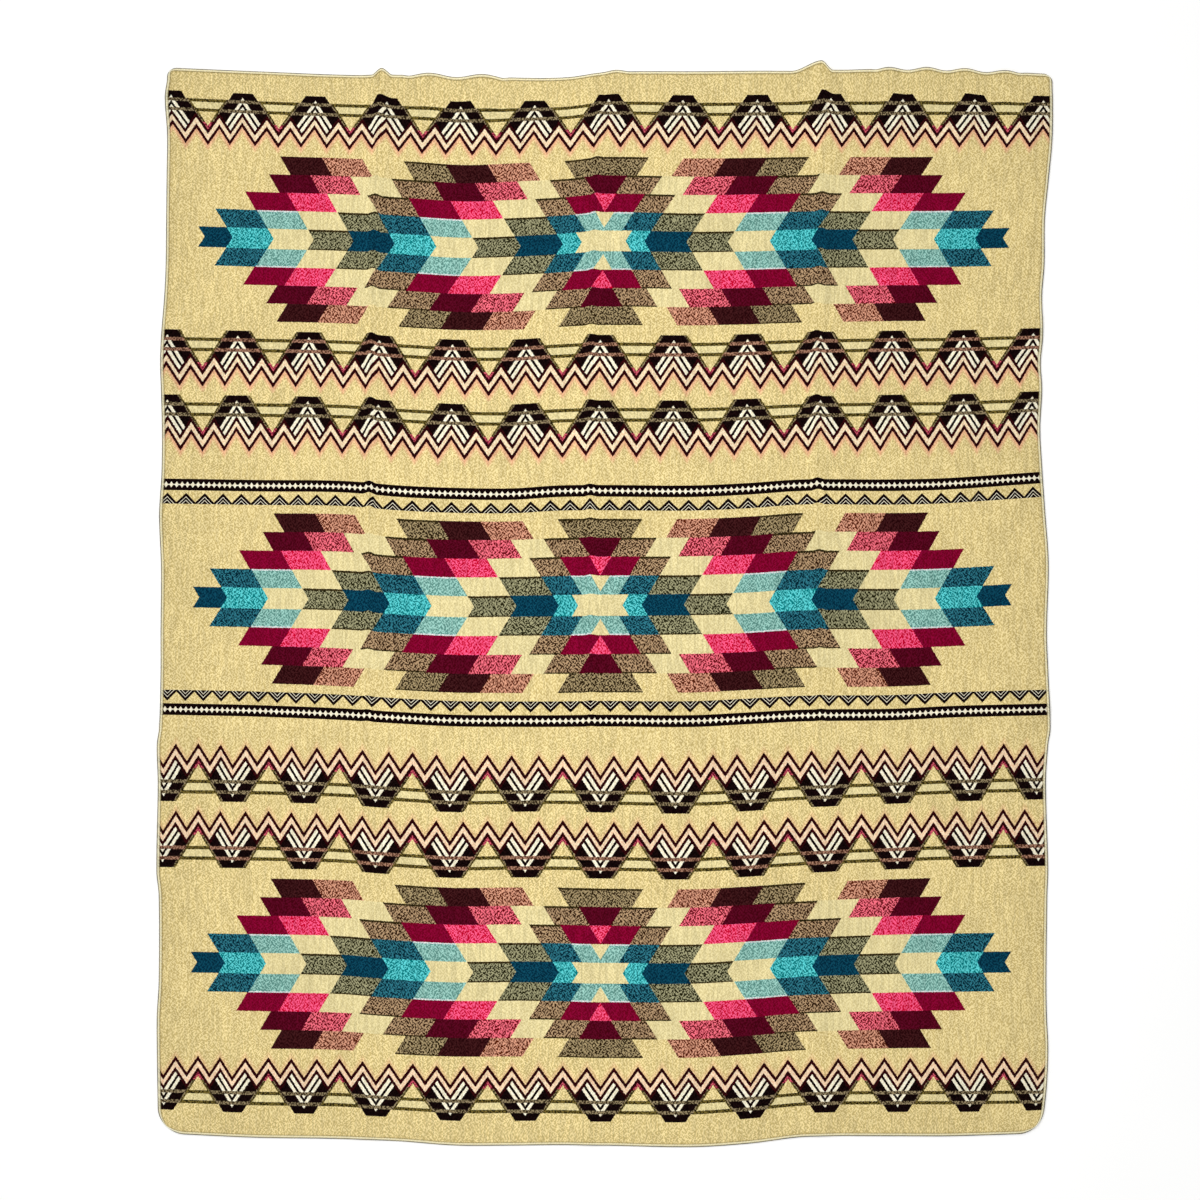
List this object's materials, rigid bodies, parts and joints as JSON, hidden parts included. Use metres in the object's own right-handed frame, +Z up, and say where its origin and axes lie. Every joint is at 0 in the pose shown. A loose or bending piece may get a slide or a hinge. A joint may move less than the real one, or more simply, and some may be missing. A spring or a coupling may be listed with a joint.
{
  "type": "woven blanket",
  "caption": "Rectangular woven blanket lying flat and face up, with stepped diamond medallions, mountain bands, low fold ridges and an overlocked edge.",
  "frame": {"origin": "middle of the underside, on the surface that the blanket lies on", "axes": "+X across the width, +Y along the length to the head end, +Z up out of the face"},
  "size_m": [1.9212, 2.3282, 0.0108],
  "materials": {
    "woven_cloth": "matte brushed wool-like weave, tan ground with coloured woven motifs"
  },
  "bodies": {
    "root": {"woven_panel": "woven_cloth"}
  },
  "joints": []
}
